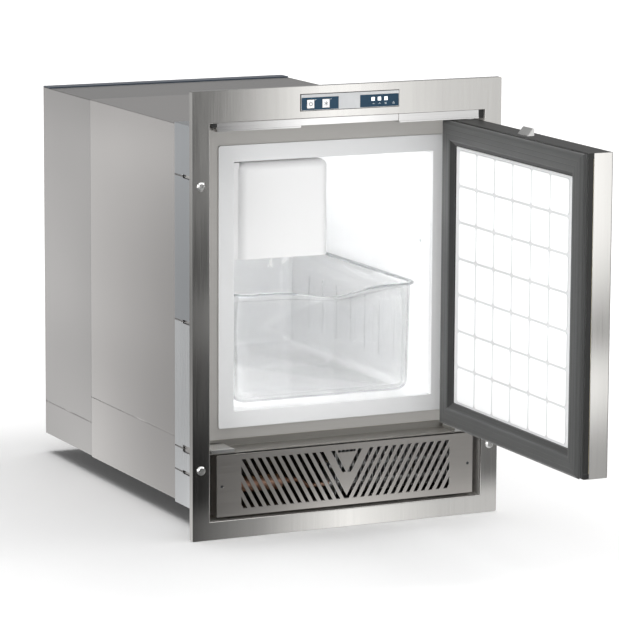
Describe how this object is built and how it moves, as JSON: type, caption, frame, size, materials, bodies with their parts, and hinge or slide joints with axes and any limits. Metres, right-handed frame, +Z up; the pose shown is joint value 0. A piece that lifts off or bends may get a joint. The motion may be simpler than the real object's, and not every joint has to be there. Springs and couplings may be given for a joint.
{
  "type": "built-in ice maker",
  "caption": "Flush-mounting ice maker: steel cabinet behind a front flange, hinged insulated door shown open, clear ice bin, covered ice mould and vent grille.",
  "frame": {"origin": "centre of the cabinet's base, at the underside of the casing", "axes": "+Z up, +Y backwards into the furniture (the front flange and door face -Y), +X to the right seen from the front"},
  "size_m": [0.38, 0.8554, 0.5],
  "materials": {
    "flange_steel": "fine brushed stainless, long grain",
    "casing_steel": "flat grey prepainted steel sheet",
    "recess_steel": "dull stainless sheet",
    "dark_steel": "dark passivated steel",
    "zinc": "bright zinc-plated steel",
    "trim_navy": "dark painted strip",
    "foam": null,
    "white_plastic": "white vacuum-formed polystyrene",
    "white_matte": "white moulded plastic",
    "black_plastic": "black moulded plastic",
    "grey_plastic": "grey moulded plastic",
    "gasket_rubber": "soft grey magnetic seal",
    "clear_plastic": "clear polystyrene, seen through",
    "panel_silver": "silver printed bezel",
    "panel_blue": "dark blue printed window",
    "led_white": "white light guide",
    "board_green": "printed circuit board",
    "copper": "copper tube",
    "aluminium": "bare aluminium",
    "black_steel": "black enamelled steel",
    "silicone": "milky silicone tube",
    "buffer_rubber": "black rubber buffer"
  },
  "bodies": {
    "cabinet": {"front_flange": "flange_steel", "mounting_screws": "zinc", "door_pocket": "recess_steel", "cross_rail": "recess_steel", "collar": "zinc", "front_casing": "casing_steel", "front_tray": "casing_steel", "rear_casing": "casing_steel", "rear_tray": "casing_steel", "back_panel": "casing_steel", "rear_trim": "trim_navy", "cabinet_foam": "foam", "inner_liner": "white_plastic", "breaker_frame": "white_plastic", "evaporator_panel": "aluminium", "upper_hinge_rails": "zinc", "hinge_end_blocks": "black_plastic", "lower_hinge_plates": "zinc", "hinge_pins": "zinc", "latch_keeper": "zinc", "grille": "recess_steel", "grille_screws": "dark_steel", "condenser": "aluminium", "fan_shroud": "black_plastic", "fan_motor": "black_plastic", "compressor": "black_steel", "compressor_mounts": "buffer_rubber", "filter_drier": "copper", "refrigerant_lines": "copper", "capillary_line": "copper", "control_box": "grey_plastic", "power_inlet": "black_plastic", "water_valve": "white_matte", "fill_tube": "silicone", "drain_tube": "white_matte", "display_bezel": "panel_silver", "display_board": "board_green", "display_windows": "panel_blue", "display_leds": "led_white", "ice_cover": "white_matte", "ice_mould": "aluminium", "mould_heater": "dark_steel", "ice_stripper": "white_matte", "ejector_motor": "grey_plastic", "fill_cup": "white_matte"},
    "door": {"door_skin": "flange_steel", "door_caps": "black_plastic", "door_frame": "black_plastic", "door_foam": "foam", "door_liner": "white_plastic", "door_gasket": "gasket_rubber", "hinge_bushes": "white_matte"},
    "latch": {"latch_bolt": "zinc", "latch_slider": "black_plastic"},
    "bin": {"ice_bin": "clear_plastic"},
    "power_button": {"power_key": "white_matte"},
    "mode_button": {"mode_key": "white_matte"},
    "fan": {"fan_rotor": "black_plastic"},
    "ejector": {"ejector_shaft": "white_matte"},
    "feeler": {"feeler_plunger": "white_matte"}
  },
  "joints": [
    {"name": "door_hinge", "type": "hinge", "parent": "cabinet", "child": "door", "pos_m": [0.1534, -0.2526, 0.25], "axis": [0, 0, 1], "range_deg": [-89, 26]},
    {"name": "latch_slide", "type": "slide", "parent": "door", "child": "latch", "axis": [0, 0, -1], "range_m": [0, 0.008], "stiffness_N_per_m": 300, "springref_m": -0.006},
    {"name": "bin_slide", "type": "slide", "parent": "cabinet", "child": "bin", "axis": [0, -1, 0], "range_m": [0, 0.26]},
    {"name": "power_key_press", "type": "slide", "parent": "cabinet", "child": "power_button", "axis": [0, 1, 0], "range_m": [0, 0.0008], "stiffness_N_per_m": 60, "springref_m": -0.001},
    {"name": "mode_key_press", "type": "slide", "parent": "cabinet", "child": "mode_button", "axis": [0, 1, 0], "range_m": [0, 0.0008], "stiffness_N_per_m": 60, "springref_m": -0.001},
    {"name": "fan_spin", "type": "hinge", "parent": "cabinet", "child": "fan", "pos_m": [0.078, -0.177, 0.037], "axis": [0, 1, 0], "continuous": true},
    {"name": "ejector_spin", "type": "hinge", "parent": "cabinet", "child": "ejector", "pos_m": [-0.058, -0.1, 0.336], "axis": [0, 1, 0], "continuous": true},
    {"name": "feeler_lift", "type": "slide", "parent": "cabinet", "child": "feeler", "axis": [0, 0, 1], "range_m": [0, 0.008]}
  ]
}
